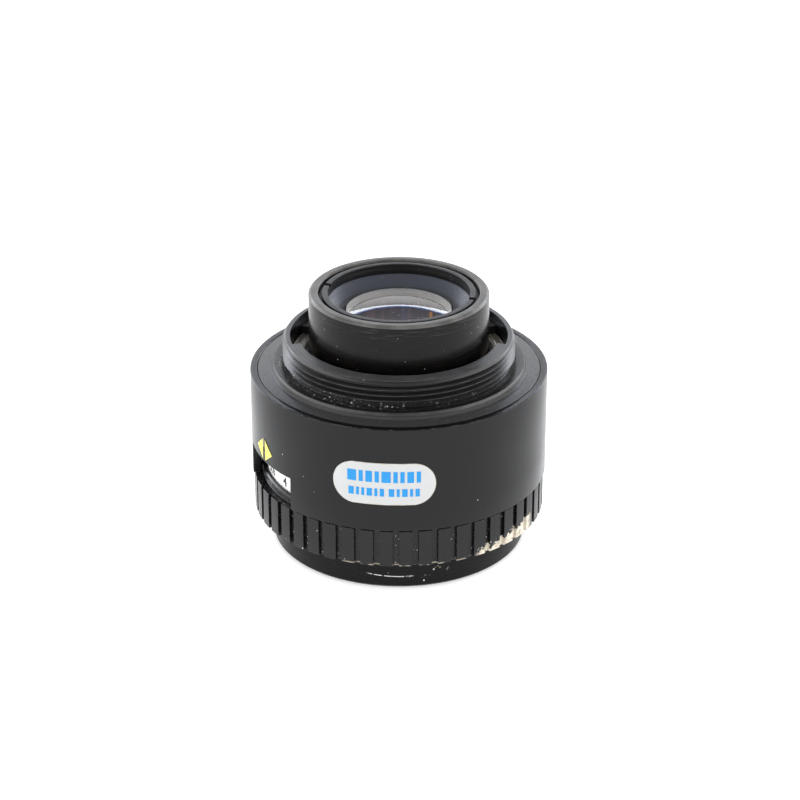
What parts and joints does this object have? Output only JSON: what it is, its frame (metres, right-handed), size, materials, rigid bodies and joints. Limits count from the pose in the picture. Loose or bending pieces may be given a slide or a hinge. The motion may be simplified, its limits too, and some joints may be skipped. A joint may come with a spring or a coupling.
{
  "type": "enlarger lens",
  "caption": "Darkroom enlarging lens with a ribbed aperture ring, a scale window, an M39 rear screw mount and a five-blade iris.",
  "frame": {"origin": "middle of the front ring's lowest face, on the optical axis, where the lens stands", "axes": "+Z along the optical axis, from the front glass to the rear screw mount; -Y looks at the label"},
  "size_m": [0.05, 0.0501, 0.0444],
  "materials": {
    "satin_black": "satin black anodising, worn on the edges",
    "cover_black": "fine satin black",
    "ring_black": "satin black, dusty grooves",
    "matt_black": "matt black",
    "baffle_black": "matt blue-grey black",
    "label_white": "satin white sticker with blue bars",
    "mark_yellow": "pale yellow print",
    "clear_plastic": "translucent, dusty",
    "scale_white": "translucent white with black numbers",
    "steel": "bright",
    "blade_black": "blackened",
    "brass": "turned",
    "coated_glass": "coated, dusty"
  },
  "bodies": {
    "lens_body": {"front_ring": "satin_black", "cover_shell": "cover_black", "label": "label_white", "index_mark": "mark_yellow", "mount_flange": "satin_black", "light_guide": "clear_plastic", "light_guide_cap": "matt_black", "rear_barrel": "satin_black", "rear_baffle": "baffle_black", "rear_retaining_ring": "satin_black", "main_barrel": "matt_black", "click_ball": "steel", "click_spring": "steel", "front_cell": "matt_black", "front_retaining_ring": "matt_black", "front_spacer": "matt_black", "rear_spacer": "matt_black", "front_element": "coated_glass", "front_doublet_outer": "coated_glass", "front_doublet_inner": "coated_glass", "rear_doublet_inner": "coated_glass", "rear_doublet_outer": "coated_glass", "rear_element": "coated_glass", "iris_housing": "brass", "iris_retainer": "matt_black", "flange_screw_1": "steel", "flange_screw_2": "steel", "flange_screw_3": "steel"},
    "aperture_control": {"aperture_ring": "ring_black", "aperture_scale": "scale_white", "iris_cam_ring": "brass", "iris_drive_arm": "steel"},
    "blade_1": {"iris_blade_1": "blade_black"},
    "blade_2": {"iris_blade_2": "blade_black"},
    "blade_3": {"iris_blade_3": "blade_black"},
    "blade_4": {"iris_blade_4": "blade_black"},
    "blade_5": {"iris_blade_5": "blade_black"},
    "click_stop_lever": {"click_lever": "satin_black"}
  },
  "joints": [
    {"name": "aperture_turn", "type": "hinge", "parent": "lens_body", "child": "aperture_control", "pos_m": [0, 0, 0.009], "axis": [0, 0, 1], "range_deg": [-20.25, 47.25]},
    {"name": "blade_1_pivot", "type": "hinge", "parent": "lens_body", "child": "blade_1", "pos_m": [0.0096, 0, 0.0235], "axis": [0, 0, 1], "range_deg": [-10.57, 24.65]},
    {"name": "blade_2_pivot", "type": "hinge", "parent": "lens_body", "child": "blade_2", "pos_m": [0.00297, 0.00913, 0.0235], "axis": [0, 0, 1], "range_deg": [-10.57, 24.65]},
    {"name": "blade_3_pivot", "type": "hinge", "parent": "lens_body", "child": "blade_3", "pos_m": [-0.00777, 0.00564, 0.0235], "axis": [0, 0, 1], "range_deg": [-10.57, 24.65]},
    {"name": "blade_4_pivot", "type": "hinge", "parent": "lens_body", "child": "blade_4", "pos_m": [-0.00777, -0.00564, 0.0235], "axis": [0, 0, 1], "range_deg": [-10.57, 24.65]},
    {"name": "blade_5_pivot", "type": "hinge", "parent": "lens_body", "child": "blade_5", "pos_m": [0.00297, -0.00913, 0.0235], "axis": [0, 0, 1], "range_deg": [-10.57, 24.65]},
    {"name": "click_lever_slide", "type": "hinge", "parent": "lens_body", "child": "click_stop_lever", "pos_m": [0, 0, 0.02], "axis": [0, 0, 1], "range_deg": [-14, 0]}
  ],
  "couplings": [
    {"joint": "blade_1_pivot", "follows": "aperture_turn", "ratio": 0.52148},
    {"joint": "blade_2_pivot", "follows": "aperture_turn", "ratio": 0.52148},
    {"joint": "blade_3_pivot", "follows": "aperture_turn", "ratio": 0.52148},
    {"joint": "blade_4_pivot", "follows": "aperture_turn", "ratio": 0.52148},
    {"joint": "blade_5_pivot", "follows": "aperture_turn", "ratio": 0.52148}
  ]
}
